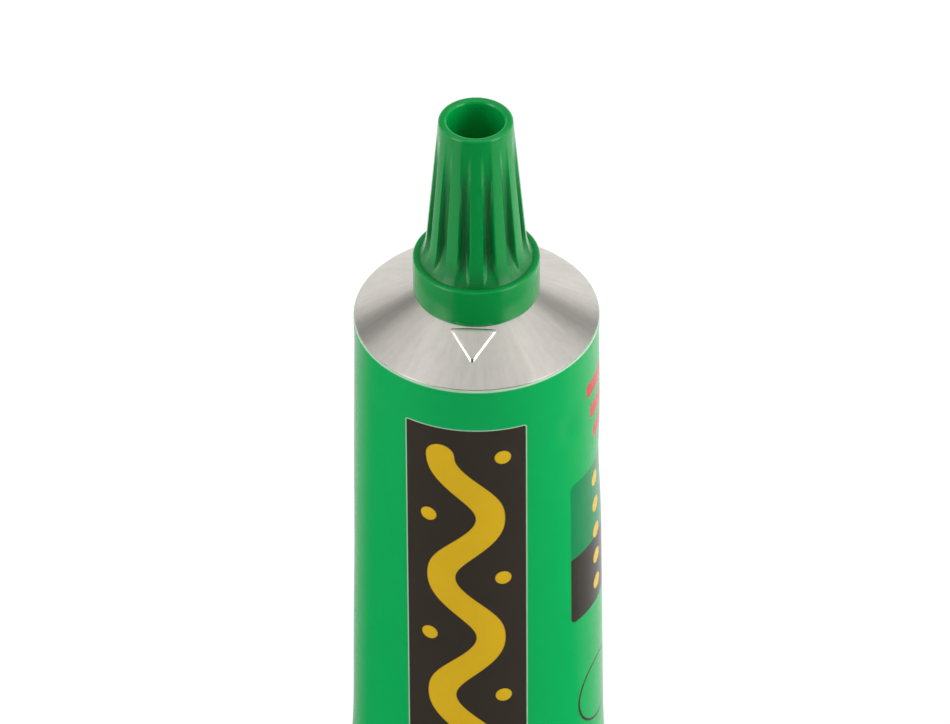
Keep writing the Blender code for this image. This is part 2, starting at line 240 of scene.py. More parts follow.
# %% Helpers for node groups
def start_group(name, kind, inputs, outputs):
    """Empty node group with named sockets; returns the tree, its inputs and its output node."""
    tree = bpy.data.node_groups.new(name, kind)
    for label, socket, value in inputs:
        made = tree.interface.new_socket(label, in_out="INPUT", socket_type=socket)
        if value is not None:
            made.default_value = value
    for label, socket in outputs:
        tree.interface.new_socket(label, in_out="OUTPUT", socket_type=socket)
    return tree, tree.nodes.new("NodeGroupInput").outputs, tree.nodes.new("NodeGroupOutput")


def call(tree, group, **feeds):
    """Use a shader group in a material; underscores stand for the spaces in its socket names."""
    node = add(tree, "ShaderNodeGroup", node_tree=group)
    for key, value in feeds.items():
        feed(tree, node.inputs[key.replace("_", " ")], value)
    return node.outputs


def end_shape(tree, given, result, geometry, offset):
    """End a geometry tree: move its points by an offset, make all of it real and paint it."""
    moved = add(tree, "GeometryNodeSetPosition", {"Geometry": geometry, "Offset": offset})
    whole = add(tree, "GeometryNodeRealizeInstances", {0: moved.outputs[0]})
    feeds = {"Geometry": whole.outputs[0], "Material": given["Finish"]}
    painted = add(tree, "GeometryNodeSetMaterial", feeds)
    tree.links.new(painted.outputs[0], result.inputs[0])


def shape_with(made, tree, **values):
    """Put a geometry tree on a piece, set its named inputs and keep the result as a plain mesh."""
    modifier = made.modifiers.new(tree.name, "NODES")
    modifier.node_group = tree
    for item in tree.interface.items_tree:
        if item.in_out == "INPUT" and item.name.replace(" ", "_") in values:
            modifier[item.identifier] = values[item.name.replace(" ", "_")]
    graph = bpy.context.evaluated_depsgraph_get()
    mesh = bpy.data.meshes.new_from_object(made.evaluated_get(graph))
    made.modifiers.remove(modifier)
    made.data = mesh
    mesh.shade_smooth()
    mesh.set_sharp_from_angle(angle=SMOOTH_ANGLE)
    return made


# %% [markdown]
# ## Shared shader groups
# Three small effects come up again and again, so each is made once as a node group with inputs.
# Fine variation gives a surface the slight unevenness of real paint, plastic and metal. Ink box and
# ink disc are masks for the print; they work in millimetres on the unrolled tube.

# %% Group: fine variation
COARSE_SHARE = 0.13

variation, given, result = start_group(
    "fine_variation",
    "ShaderNodeTree",
    [
        ("Place", "NodeSocketVector", None),
        ("Scale", "NodeSocketFloat", 400.0),
        ("Amount", "NodeSocketFloat", 0.05),
    ],
    [("Shade", "NodeSocketFloat"), ("Height", "NodeSocketFloat")],
)
coarse_scale = calc(variation, "MULTIPLY", given["Scale"], COARSE_SHARE)
fine = noise(variation, given["Place"], given["Scale"], 4.0)
coarse = noise(variation, given["Place"], coarse_scale, 2.0)
both = calc(variation, "ADD", fine, coarse)
swing = calc(variation, "MULTIPLY", calc(variation, "SUBTRACT", both, 1.0), given["Amount"])
variation.links.new(calc(variation, "ADD", swing, 1.0), result.inputs["Shade"])
variation.links.new(both, result.inputs["Height"])
print("fine variation nodes:", len(variation.nodes))

# %% Group: ink box
INK_SOFT_MM = 0.05

ink_box, given, result = start_group(
    "ink_box",
    "ShaderNodeTree",
    [
        ("Place", "NodeSocketVector", None),
        ("Middle", "NodeSocketVector", (0.0, 0.0, 0.0)),
        ("Half Size", "NodeSocketVector", (1.0, 1.0, 1.0)),
        ("Corner", "NodeSocketFloat", 0.5),
    ],
    [("Mask", "NodeSocketFloat"), ("Distance", "NodeSocketFloat")],
)
shifted = vectors(ink_box, "SUBTRACT", given["Place"], given["Middle"])[0]
mirrored = vectors(ink_box, "ABSOLUTE", shifted)[0]
core = vectors(ink_box, "SUBTRACT", mirrored, given["Half Size"])[0]
split = add(ink_box, "ShaderNodeSeparateXYZ", {0: core}).outputs
over_x = calc(ink_box, "ADD", split["X"], given["Corner"])
over_y = calc(ink_box, "ADD", split["Y"], given["Corner"])
square_x = calc(ink_box, "POWER", calc(ink_box, "MAXIMUM", over_x, 0.0), 2.0)
square_y = calc(ink_box, "POWER", calc(ink_box, "MAXIMUM", over_y, 0.0), 2.0)
outside = calc(ink_box, "SQRT", calc(ink_box, "ADD", square_x, square_y))
inside = calc(ink_box, "MINIMUM", calc(ink_box, "MAXIMUM", over_x, over_y), 0.0)
distance = calc(ink_box, "SUBTRACT", calc(ink_box, "ADD", outside, inside), given["Corner"])
edge = ramp(ink_box, distance, INK_SOFT_MM, -INK_SOFT_MM)
ink_box.links.new(edge, result.inputs["Mask"])
ink_box.links.new(distance, result.inputs["Distance"])
print("ink box nodes:", len(ink_box.nodes))

# %% Group: ink disc
ink_disc, given, result = start_group(
    "ink_disc",
    "ShaderNodeTree",
    [
        ("Place", "NodeSocketVector", None),
        ("Middle", "NodeSocketVector", (0.0, 0.0, 0.0)),
        ("Radius", "NodeSocketFloat", 1.0),
    ],
    [("Mask", "NodeSocketFloat")],
)
away = vectors(ink_disc, "DISTANCE", given["Place"], given["Middle"])["Value"]
past = calc(ink_disc, "SUBTRACT", away, given["Radius"])
ink_disc.links.new(ramp(ink_disc, past, INK_SOFT_MM, -INK_SOFT_MM), result.inputs["Mask"])
print("shared groups:", [group.name for group in bpy.data.node_groups])

# %% [markdown]
# ## Materials
# Each material is a Principled shader whose colour and bump come from nodes. This cell has what
# they share: a new material, its shader, and a way to layer one colour over another by a mask.

# %% Material helpers
MIX_BELOW, MIX_ABOVE, MIX_RESULT = 6, 7, 2


def finish(name, roughness, metallic=0.0):
    """New material; returns it with its tree and Principled shader."""
    made = bpy.data.materials.new(name)
    made.use_nodes = True
    shader = made.node_tree.nodes["Principled BSDF"]
    shader.inputs["Roughness"].default_value = roughness
    shader.inputs["Metallic"].default_value = metallic
    return made, made.node_tree, shader


def mix(tree, share, below, above, blend):
    """Mix of two colours, each a plain colour or another node's output."""
    mixed = add(tree, "ShaderNodeMix", {0: share}, data_type="RGBA", blend_type=blend)
    for number, colour in ((MIX_BELOW, below), (MIX_ABOVE, above)):
        plain = not isinstance(colour, bpy.types.NodeSocket)
        feed(tree, mixed.inputs[number], (*colour, 1.0) if plain else colour)
    return mixed.outputs[MIX_RESULT]


def over(tree, mask, below, above):
    """Colour above laid over colour below where the mask is one."""
    return mix(tree, mask, below, above, "MIX")


def shaded(tree, colour, shade):
    """Colour multiplied by a grey value."""
    grey = add(tree, "ShaderNodeCombineColor", {0: shade, 1: shade, 2: shade})
    return mix(tree, 1.0, colour, grey.outputs[0], "MULTIPLY")


def bump(tree, shader, height, strength, depth):
    """Drive the shader's normal by a height."""
    feeds = {"Strength": strength, "Distance": depth, "Height": height}
    made = add(tree, "ShaderNodeBump", feeds)
    tree.links.new(made.outputs["Normal"], shader.inputs["Normal"])


# %% [markdown]
# ### Enamel with its print
# The sleeve is printed before it is filled. The masks read an attribute that the mesh will carry:
# how far a point lies round the tube from the middle of the front, and how far below the shoulder.
# The print is plain: a dark panel with a fine pale edge and a yellow bead of gel winding down it,
# and at the side three red bars and a dark tile with yellow dots. The masks are laid over the green
# in turn. The bead is a cosine, which runs straight down at its ends, so a disc rounds each end.

# %% Material: enamel
GREEN = (0.0, 0.336, 0.078)
CHARCOAL = (0.034, 0.028, 0.021)
DEEP_GREEN = (0.002, 0.20, 0.062)
YELLOW = (0.61, 0.376, 0.007)
RED = (0.48, 0.04, 0.026)
PALE_INK_AND_HIGHLIGHT = (0.39, 0.54, 0.41)
ENAMEL_IOR = 1.36
PANEL_HALF_MM = 6.37
PANEL_TOP_MM = 5.0
PANEL_BOTTOM_MM = 70.0
PANEL_EDGE_MM = (0.14, 0.07)
RIM_PAINTED_HIGHLIGHT_MM = (-0.12, -0.22)

enamel, tree, shader = finish("green_enamel", 0.2)
shader.inputs["IOR"].default_value = ENAMEL_IOR
place = add(tree, "ShaderNodeAttribute", attribute_name="print_place").outputs["Vector"]
where = add(tree, "ShaderNodeSeparateXYZ", {0: place}).outputs
panel = call(
    tree,
    ink_box,
    Place=place,
    Middle=(0.0, (PANEL_TOP_MM + PANEL_BOTTOM_MM) / 2, 0.0),
    Half_Size=(PANEL_HALF_MM, (PANEL_BOTTOM_MM - PANEL_TOP_MM) / 2, 1.0),
    Corner=0.25,
)
# Painted highlight: a pale band along the enamel's rounded rim; the same pale colour is also the
# panel's printed edge.
colour = over(tree, ramp(tree, where["Y"], *RIM_PAINTED_HIGHLIGHT_MM), GREEN, PALE_INK_AND_HIGHLIGHT)
colour = over(tree, ramp(tree, panel["Distance"], *PANEL_EDGE_MM), colour, PALE_INK_AND_HIGHLIGHT)
colour = over(tree, panel["Mask"], colour, CHARCOAL)


def inked(colour, ink, group, **sizes):
    """Lay ink over the enamel's colour where a mask group of these sizes is one."""
    return over(tree, call(tree, group, Place=place, **sizes)["Mask"], colour, ink)


print("panel height in mm:", PANEL_BOTTOM_MM - PANEL_TOP_MM)

# %% Print: bead of gel on the panel
BEAD_START_MM = 8.7
BEAD_WAVE_MM = 16.4
BEAD_WAVES = 3.5
BEAD_SWING_MM = 2.6
BEAD_HALF_MM = 1.5
BEAD_TURN = 2 * math.pi / BEAD_WAVE_MM
DROP_COUNT = 8
DROP_ACROSS_MM = 3.9
DROP_RADIUS_MM = 0.85

bead_down = calc(tree, "SUBTRACT", where["Y"], BEAD_START_MM)
bead_phase = calc(tree, "MULTIPLY", bead_down, BEAD_TURN)
bead_line = calc(tree, "MULTIPLY", calc(tree, "COSINE", bead_phase), -BEAD_SWING_MM)
bead_slope = calc(tree, "MULTIPLY", calc(tree, "SINE", bead_phase), BEAD_SWING_MM * BEAD_TURN)
bead_stretch = calc(tree, "SQRT", calc(tree, "ADD", calc(tree, "POWER", bead_slope, 2.0), 1.0))
bead_aside = calc(tree, "ABSOLUTE", calc(tree, "SUBTRACT", where["X"], bead_line))
bead_away = calc(tree, "DIVIDE", bead_aside, bead_stretch)
bead = ramp(tree, bead_away, BEAD_HALF_MM + INK_SOFT_MM, BEAD_HALF_MM - INK_SOFT_MM)
bead_half_run = BEAD_WAVE_MM * BEAD_WAVES / 2
bead_run = call(
    tree,
    ink_box,
    Place=place,
    Middle=(0.0, BEAD_START_MM + bead_half_run, 0.0),
    Half_Size=(PANEL_HALF_MM, bead_half_run, 1.0),
    Corner=0.1,
)
colour = over(tree, calc(tree, "MULTIPLY", bead, bead_run["Mask"]), colour, YELLOW)
for side, down in ((-1, 0.0), (1, 2 * bead_half_run)):
    middle = (side * BEAD_SWING_MM, BEAD_START_MM + down, 0.0)
    colour = inked(colour, YELLOW, ink_disc, Middle=middle, Radius=BEAD_HALF_MM)
for row in range(DROP_COUNT):
    side = -1.0 if row % 2 else 1.0
    middle = (side * DROP_ACROSS_MM, BEAD_START_MM + BEAD_WAVE_MM * row / 2, 0.0)
    colour = inked(colour, YELLOW, ink_disc, Middle=middle, Radius=DROP_RADIUS_MM)
print("bead length down the panel in mm:", round(2 * bead_half_run, 1))

# %% Print: side column
SIDE_MIDDLE_MM = 17.2
BAR_HALVES_MM = (3.2, 2.4, 1.6)
BAR_TOP_MM = 5.6
BAR_STEP_MM = 3.2
TILE_DOWN_MM = 25.6
TILE_SPLIT_MM = 26.2
DOT_COUNT = 5
DOT_TOP_MM = 18.6
DOT_STEP_MM = 3.5
RING_DOWN_MM = 47.0
RING_RADII_MM = (4.2, 3.9)

for row, half in enumerate(BAR_HALVES_MM):
    middle = (SIDE_MIDDLE_MM + 1.0, BAR_TOP_MM + row * BAR_STEP_MM, 0.0)
    colour = inked(colour, RED, ink_box, Middle=middle, Half_Size=(half, 0.9, 1.0), Corner=0.5)
tile = call(
    tree,
    ink_box,
    Place=place,
    Middle=(SIDE_MIDDLE_MM, TILE_DOWN_MM, 0.0),
    Half_Size=(5.2, 9.4, 1.0),
    Corner=0.8,
)
colour = over(tree, tile["Mask"], colour, DEEP_GREEN)
lower_half = calc(tree, "GREATER_THAN", where["Y"], TILE_SPLIT_MM)
colour = over(tree, calc(tree, "MULTIPLY", tile["Mask"], lower_half), colour, CHARCOAL)
for row in range(DOT_COUNT):
    middle = (SIDE_MIDDLE_MM, DOT_TOP_MM + row * DOT_STEP_MM, 0.0)
    colour = inked(colour, YELLOW, ink_disc, Middle=middle, Radius=0.9)
outer, inner = (
    call(tree, ink_disc, Place=place, Middle=(SIDE_MIDDLE_MM, RING_DOWN_MM, 0.0), Radius=size)
    for size in RING_RADII_MM
)
colour = over(tree, calc(tree, "SUBTRACT", outer["Mask"], inner["Mask"]), colour, CHARCOAL)
object_place = add(tree, "ShaderNodeTexCoord").outputs["Object"]
uneven = call(tree, variation, Place=object_place, Scale=900.0, Amount=0.05)
tree.links.new(shaded(tree, colour, uneven["Shade"]), shader.inputs["Base Color"])
bump(tree, shader, uneven["Height"], 0.05, 0.02 * MM)
print("enamel nodes:", len(tree.nodes))

# %% [markdown]
# ### Bare aluminium
# The shoulder is turned on a lathe, which leaves fine rings round the axis. Such a surface
# stretches reflections across the rings, so the shader is anisotropic, with a tangent that points
# away from the axis. The tangent is worked out from the object's own coordinates: (x, y) made one
# unit long. Forming and handling add faint streaks down the slope, from a noise that changes
# mostly by angle.

# %% Material: bare aluminium
ALUMINIUM = (0.81, 0.775, 0.715)
LATHE_SCALE = 9000.0
STREAK_SCALE = 18.0
STREAK_BREAKS = 20.0
STREAK_AMOUNT = 0.24

aluminium, tree, shader = finish("turned_aluminium", 0.33, 1.0)
shader.inputs["Anisotropic"].default_value = 0.5
object_place = add(tree, "ShaderNodeTexCoord").outputs["Object"]
where, flat, radius = from_axis(tree, object_place)
outward = vectors(tree, "NORMALIZE", flat)[0]
tree.links.new(outward, shader.inputs["Tangent"])
rings_place = add(tree, "ShaderNodeCombineXYZ", {0: radius, 1: where["Z"]}).outputs[0]
bump(tree, shader, noise(tree, rings_place, LATHE_SCALE, 3.0), 0.12, 0.01 * MM)
ray = add(tree, "ShaderNodeSeparateXYZ", {0: outward}).outputs
breaks = calc(tree, "MULTIPLY", radius, STREAK_BREAKS)
ray_place = add(tree, "ShaderNodeCombineXYZ", {0: ray["X"], 1: ray["Y"], 2: breaks}).outputs[0]
streaks = noise(tree, ray_place, STREAK_SCALE, 4.0)
streak_shade = calc(tree, "MULTIPLY_ADD", streaks, STREAK_AMOUNT, 1.0 - STREAK_AMOUNT / 2)
uneven = call(tree, variation, Place=object_place, Scale=1400.0, Amount=0.12)
shade = calc(tree, "MULTIPLY", uneven["Shade"], streak_shade)
tree.links.new(shaded(tree, ALUMINIUM, shade), shader.inputs["Base Color"])
print("aluminium nodes:", len(tree.nodes))

# %% [markdown]
# ### Cap plastic and the inner pieces
# The cap is moulded polyethylene: a deep green with a soft gloss. Its mesh carries a value for how
# far each point lies in a flute, and the colour is darkened there and on the flare as painted
# shade.
# The colour is lifted inside the hollow end as painted light, a glow that stands in for light
# coming through the thin wall. The membrane, liner and sealant hide inside; they keep their solids
# and get finishes of their own. The gel gets its mesh later.

# %% Material: cap plastic
CAP_GREEN = (0.0, 0.230, 0.042)
CAP_IOR = 1.42
CAP_ROUGHNESS = 0.17
GROOVE_ROUGHNESS = 0.15
# Painted shade: how much darker the colour is in the flutes and on the flare.
GROOVE_PAINTED_SHADE = 0.42
THIN_WALL_RADII = (3.08 * MM, 2.88 * MM)
THIN_WALL_PAINTED_GLOW = 1.45

cap_plastic, tree, shader = finish("moulded_green", CAP_ROUGHNESS)
shader.inputs["IOR"].default_value = CAP_IOR
object_place = add(tree, "ShaderNodeTexCoord").outputs["Object"]
uneven = call(tree, variation, Place=object_place, Scale=1500.0, Amount=0.06)
groove = add(tree, "ShaderNodeAttribute", attribute_name="groove").outputs["Fac"]
in_groove = ramp(tree, groove, 0.05, 0.5, interpolation_type="SMOOTHSTEP")
# Painted shade: the colour is darkened in the flutes and on the flare, where shade falls.
painted_groove_shade = calc(tree, "MULTIPLY_ADD", in_groove, -GROOVE_PAINTED_SHADE, 1.0)
radius = from_axis(tree, object_place)[2]
# Painted light: the colour is lifted inside the hollow end, a glow for light through the thin wall.
painted_glow = ramp(tree, radius, *THIN_WALL_RADII, 1.0, THIN_WALL_PAINTED_GLOW)
shade = product(tree, uneven["Shade"], painted_groove_shade, painted_glow)
roughness = calc(tree, "MULTIPLY_ADD", in_groove, GROOVE_ROUGHNESS, CAP_ROUGHNESS)
tree.links.new(roughness, shader.inputs["Roughness"])
tree.links.new(shaded(tree, CAP_GREEN, shade), shader.inputs["Base Color"])
bump(tree, shader, uneven["Height"], 0.06, 0.02 * MM)
print("cap plastic nodes:", len(tree.nodes))


# %% Materials of the inner pieces
def plain_finish(name, colour, roughness, metallic, scale):
    """Simple finish with fine variation and bump."""
    made, tree, shader = finish(name, roughness, metallic)
    spot = add(tree, "ShaderNodeTexCoord").outputs["Object"]
    uneven = call(tree, variation, Place=spot, Scale=scale, Amount=0.10)
    tree.links.new(shaded(tree, colour, uneven["Shade"]), shader.inputs["Base Color"])
    bump(tree, shader, uneven["Height"], 0.2, 0.02 * MM)
    return made


gel_finish = plain_finish("clear_gel", (0.86, 0.84, 0.74), 0.12, 0.0, 250.0)
for node, made in (
    ("nozzle_membrane", plain_finish("thin_aluminium", (0.76, 0.76, 0.75), 0.35, 1.0, 2500.0)),
    ("cap_liner", plain_finish("liner_foam", (0.85, 0.85, 0.82), 0.65, 0.0, 3500.0)),
    ("tail_sealant", plain_finish("sealing_compound", (0.80, 0.72, 0.52), 0.5, 0.0, 1200.0)),
):
    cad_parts[node].data.materials.clear()
    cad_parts[node].data.materials.append(made)
print("finishes:", [material.name for material in bpy.data.materials])

# %% [markdown]
# ## The sleeve
# A collapsible tube starts as a cylinder. Its wall keeps the same length round while the lower end
# is pressed flat, so each ring is an ellipse with one fixed length: as it gets thinner it gets
# wider. A full tube stays nearly round for its upper half, and then joins the curve of the solid.
# Handling leaves shallow dents, added as soft pushes inward.

# %% Rings of the flattened sleeve
SLEEVE_COLUMNS = 192
TUBE_RADIUS = 12.5 * MM
SLEEVE_WALL = 0.15 * MM
FLATTEN_POWER = 4.0
EARLY_FLAT = 0.115
JOIN_START = 0.56
JOIN_END = 0.86
FOLD_HEIGHT = 5 * MM
BORE_RADIUS = TUBE_RADIUS - SLEEVE_WALL
PRESSED_FLAT = 1e-8
FINE_STEPS = 2881
SEARCH_STEPS = 50


def thin_half(share):
    """Short half-width of the bore at a share of the way from shoulder to fold."""
    slow = EARLY_FLAT * share
    join = min(max((share - JOIN_START) / (JOIN_END - JOIN_START), 0.0), 1.0)
    flat = slow + (share**FLATTEN_POWER - slow) * join**2 * (3 - 2 * join)
    return max(BORE_RADIUS * (1 - flat), PRESSED_FLAT)


def wide_half(thin):
    """Long half-width of the ellipse that has the bore's length round, for a short one."""
    low, high = BORE_RADIUS, BORE_RADIUS * math.pi / 2 * 1.01
    for _ in range(SEARCH_STEPS):
        wide = (low + high) / 2
        h = ((wide - thin) / (wide + thin)) ** 2
        length = math.pi * (wide + thin) * (1 + 3 * h / (10 + math.sqrt(4 - 3 * h)))
        low, high = (wide, high) if length < 2 * math.pi * BORE_RADIUS else (low, wide)
    return wide


def oval(thin, outset):
    """Points spaced evenly round the flattened sleeve, set out from the bore by outset."""
    wide = wide_half(thin)
    fine = np.linspace(0.0, 2 * np.pi, FINE_STEPS)
    steps = np.hypot(np.diff(wide * np.cos(fine)), np.diff(thin * np.sin(fine)))
    run = np.concatenate(([0.0], np.cumsum(steps)))
    turn = np.interp(np.arange(SLEEVE_COLUMNS) / SLEEVE_COLUMNS * run[-1], run, fine)
    normal = np.stack((thin * np.cos(turn), wide * np.sin(turn)), axis=1)
    normal /= np.linalg.norm(normal, axis=1, keepdims=True)
    return np.stack((wide * np.cos(turn), thin * np.sin(turn)), axis=1) + outset * normal


def sleeve_ring(height, outset):
    """Ring of the sleeve between shoulder and fold."""
    share = min(max((SLEEVE_TOP - height) / (SLEEVE_TOP - FOLD_HEIGHT), 0.0), 1.0)
    flat = oval(thin_half(share), outset)
    return np.column_stack((flat, np.full(len(flat), height)))


print("sleeve width half-way down in mm:", round(2 * wide_half(thin_half(0.5)) / MM, 2))

# %% [markdown]
# The tail is rolled over twice, like the end of a toothpaste tube. The flat end is carried along a
# path in Y and Z: down, round a half-turn, up behind, round again and down between the two layers.

# %% Rings of the rolled tail
SHEET = 2 * SLEEVE_WALL
FOLD_PITCH = SHEET + 0.1 * MM
FOLD_STEPS = 12


def fold_rings():
    """Rings of the flat tail along its rolled path."""
    lower = FOLD_PITCH + SHEET / 2
    upper = FOLD_HEIGHT - SHEET - FOLD_PITCH / 2
    stops = [(0.0, z, -math.pi / 2) for z in np.linspace(FOLD_HEIGHT, lower, 8)[1:]]
    for turn in np.linspace(-math.pi / 2, math.pi / 2, FOLD_STEPS + 1)[1:]:
        stops.append((FOLD_PITCH * (1 + math.sin(turn)), lower - FOLD_PITCH * math.cos(turn), turn))
    for turn in np.linspace(math.pi / 2, 3 * math.pi / 2, FOLD_STEPS + 1):
        aside, rise = math.sin(turn) / 2, math.cos(turn) / 2
        stops.append((FOLD_PITCH * (1.5 + aside), upper - FOLD_PITCH * rise, turn))
    stops.append((FOLD_PITCH, lower + SHEET, -math.pi / 2))
    flat = oval(PRESSED_FLAT, SLEEVE_WALL)
    rolled = []
    for y, z, turn in stops:
        aside, rise = flat[:, 1] * math.sin(turn), flat[:, 1] * math.cos(turn)
        rolled.append(np.stack((flat[:, 0], y - aside, z + rise), axis=1))
    return rolled


print("rings in the rolled tail:", len(fold_rings()))

# %% [markdown]
# The enamel ends in a slightly proud rim at the shoulder. The mesh also carries the place of every
# corner on the unrolled print. Corners are used, not points, because at the seam on the back one
# point has two places: the end of one turn and the start of the next.

# %% Sleeve mesh
RIM_MM = [(12.48, 95.40), (12.525, 95.415), (12.56, 95.37), (12.58, 95.26)]
RIM_MM += [(12.585, 95.0), (12.58, 94.6), (12.56, 94.1), (12.54, 93.4)]
RIM_FOOT = 93.0 * MM
SLEEVE_RINGS = 141
RING_CROWDING = 1.3
BORE_RINGS = 90
BORE_TOP = SLEEVE_TOP - 0.2 * MM
NIP = 0.1 * MM
DENTS_MM = [
    (11.6, 8.6, 1.5, 2.0, 0.22),
    (9.6, 11.5, 1.0, 1.6, 0.10),
    (11.5, 14.5, 2.0, 3.0, 0.12),
    (20.6, 18.0, 5.0, 5.0, 0.20),
    (-22.0, 30.0, 4.0, 7.0, 0.12),
]
STEP_MM = 2 * math.pi * TUBE_RADIUS / MM / SLEEVE_COLUMNS

column_mm = (np.arange(SLEEVE_COLUMNS) / SLEEVE_COLUMNS - 0.75) % 1.0
column_mm = np.where(column_mm >= 0.5, column_mm - 1.0, column_mm) * STEP_MM * SLEEVE_COLUMNS


def dent(row):
    """Push a ring's points inward near each dent, given as round, down, wide, high and deep."""
    down = (SLEEVE_TOP - row[:, 2]) / MM
    push = sum(
        deep * np.exp(-(((column_mm - u) / wide) ** 2) - ((down - v) / high) ** 2)
        for u, v, wide, high, deep in DENTS_MM
    )
    outward = row[:, :2] / np.linalg.norm(row[:, :2], axis=1, keepdims=True)
    row[:, :2] -= outward * push[:, None] * MM


run = 1 - (1 - np.linspace(0.0, 1.0, SLEEVE_RINGS)) ** RING_CROWDING
heights = SLEEVE_TOP - (SLEEVE_TOP - FOLD_HEIGHT) * run
rows = [ring(r * MM, z * MM, SLEEVE_COLUMNS) for r, z in RIM_MM]
rows += [sleeve_ring(z, SLEEVE_WALL) for z in heights[heights < RIM_FOOT]]
shares = np.linspace(0.0, 1.0, 4001)
nip_share = np.interp(-NIP, [-thin_half(share) for share in shares], shares)
bore_low = SLEEVE_TOP - (SLEEVE_TOP - FOLD_HEIGHT) * nip_share
bore = [sleeve_ring(z, 0.0) for z in np.linspace(bore_low, BORE_TOP, BORE_RINGS)]
for row in bore + rows:
    dent(row)
rows += fold_rings()
sleeve = skin("tube_sleeve", bore + rows)
print("sleeve rings:", len(bore + rows), "dents:", len(DENTS_MM))

# %% Sleeve print places
depth_mm = np.array([(SLEEVE_TOP - row[0, 2]) / MM for row in bore + rows])
corner_vertex = np.zeros(len(sleeve.data.loops), np.int32)
sleeve.data.loops.foreach_get("vertex_index", corner_vertex)
corner_start = np.zeros(len(sleeve.data.polygons), np.int32)
sleeve.data.polygons.foreach_get("loop_start", corner_start)
corner_face = np.searchsorted(corner_start, np.arange(len(corner_vertex)), side="right") - 1
corner_column = corner_vertex % SLEEVE_COLUMNS
face_column = np.full(len(corner_start), SLEEVE_COLUMNS)
np.minimum.at(face_column, corner_face, corner_column)
wrap = (face_column[corner_face] == 0) & (corner_column == SLEEVE_COLUMNS - 1)
face_column[corner_face[wrap]] = SLEEVE_COLUMNS - 1
ahead = (corner_column - face_column[corner_face]) % SLEEVE_COLUMNS
places = np.zeros((len(corner_vertex), 3), np.float32)
places[:, 0] = column_mm[face_column[corner_face]] + ahead * STEP_MM
places[:, 1] = depth_mm[corner_vertex // SLEEVE_COLUMNS]
layer = sleeve.data.attributes.new("print_place", "FLOAT_VECTOR", "CORNER")
layer.data.foreach_set("vector", places.ravel())
print("sleeve faces:", len(sleeve.data.polygons))

# %% [markdown]
# ## Crimped tail
# The rolled tail is pressed between toothed jaws so that it can't unroll. A row of even teeth is a
# job for geometry nodes: every point below the fold's top is moved to and fro in Y by a wave along
# X. All layers move together, so none of them can cut through its neighbour.

# %% Geometry nodes: crimp
TOOTH_PITCH = 1.6 * MM
TOOTH_DEPTH = 0.07 * MM
FULL_TOOTH_SHARE = 0.8

crimp, given, result = start_group(
    "tail_crimp",
    "GeometryNodeTree",
    [
        ("Geometry", "NodeSocketGeometry", None),
        ("Tooth Pitch", "NodeSocketFloat", TOOTH_PITCH),
        ("Tooth Depth", "NodeSocketFloat", TOOTH_DEPTH),
        ("Fold Top", "NodeSocketFloat", FOLD_HEIGHT),
        ("Finish", "NodeSocketMaterial", None),
    ],
    [("Geometry", "NodeSocketGeometry")],
)
spot = add(crimp, "GeometryNodeInputPosition").outputs[0]
where = add(crimp, "ShaderNodeSeparateXYZ", {0: spot}).outputs
along = calc(crimp, "MULTIPLY", where["X"], 2 * math.pi)
wave = calc(crimp, "SINE", calc(crimp, "DIVIDE", along, given["Tooth Pitch"]))
full_tooth = calc(crimp, "MULTIPLY", given["Fold Top"], FULL_TOOTH_SHARE)
fade = ramp(crimp, where["Z"], given["Fold Top"], full_tooth)
shift = product(crimp, wave, given["Tooth Depth"], fade)
offset = add(crimp, "ShaderNodeCombineXYZ", {1: shift}).outputs[0]
end_shape(crimp, given, result, given["Geometry"], offset)

shape_with(
    sleeve,
    crimp,
    Tooth_Pitch=TOOTH_PITCH,
    Tooth_Depth=TOOTH_DEPTH,
    Fold_Top=FOLD_HEIGHT,
    Finish=enamel,
)
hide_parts("tube_shell")
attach(sleeve, "tube")
print("crimped sleeve points:", len(sleeve.data.vertices))

# %% [markdown]
# ## Screw thread
# The neck and the cap's bore carry the same right-hand thread. On a right-hand thread the angle and
# the height go up together, so one wave of (height / pitch - angle) draws the whole helix. The tree
# pulls the points of one cylinder inward by that wave, and both pieces use it.

# %% Geometry nodes: thread
THREAD_PITCH = 1.5 * MM
THREAD_DEPTH = 0.5 * MM
WALL_REACH = 0.32 * MM

thread, given, result = start_group(
    "screw_thread",
    "GeometryNodeTree",
    [
        ("Geometry", "NodeSocketGeometry", None),
        ("Pitch", "NodeSocketFloat", THREAD_PITCH),
        ("Depth", "NodeSocketFloat", THREAD_DEPTH),
        ("Surface Radius", "NodeSocketFloat", 4.5 * MM),
        ("Low", "NodeSocketFloat", 0.0),
        ("High", "NodeSocketFloat", 1.0),
        ("Finish", "NodeSocketMaterial", None),
    ],
    [("Geometry", "NodeSocketGeometry")],
)
spot = add(thread, "GeometryNodeInputPosition").outputs[0]
where, flat, radius = from_axis(thread, spot)
angle = calc(thread, "ARCTAN2", where["Y"], where["X"])
climb = calc(thread, "DIVIDE", calc(thread, "MULTIPLY", where["Z"], 2 * math.pi), given["Pitch"])
crest = calc(thread, "COSINE", calc(thread, "SUBTRACT", climb, angle))
wave = calc(thread, "MULTIPLY_ADD", crest, -0.5, 0.5)
on_wall = calc(thread, "COMPARE", radius, given["Surface Radius"], WALL_REACH)
above = calc(thread, "GREATER_THAN", where["Z"], given["Low"])
below = calc(thread, "LESS_THAN", where["Z"], given["High"])
pull = product(thread, wave, given["Depth"], on_wall, above, below, -1.0)
outward = vectors(thread, "NORMALIZE", flat)[0]
offset = vectors(thread, "SCALE", outward, Scale=pull)[0]
end_shape(thread, given, result, given["Geometry"], offset)
print("thread nodes:", len(thread.nodes))

# %% [markdown]
# ## The shoulder
# The cone, neck and nozzle are one thick turned piece at the end of the thin sleeve. Its outline is
# turned round the axis as a closed loop: outside from rim to nozzle, down the bore, and back under
# the cone. The neck has close rings so that the thread has points to move.

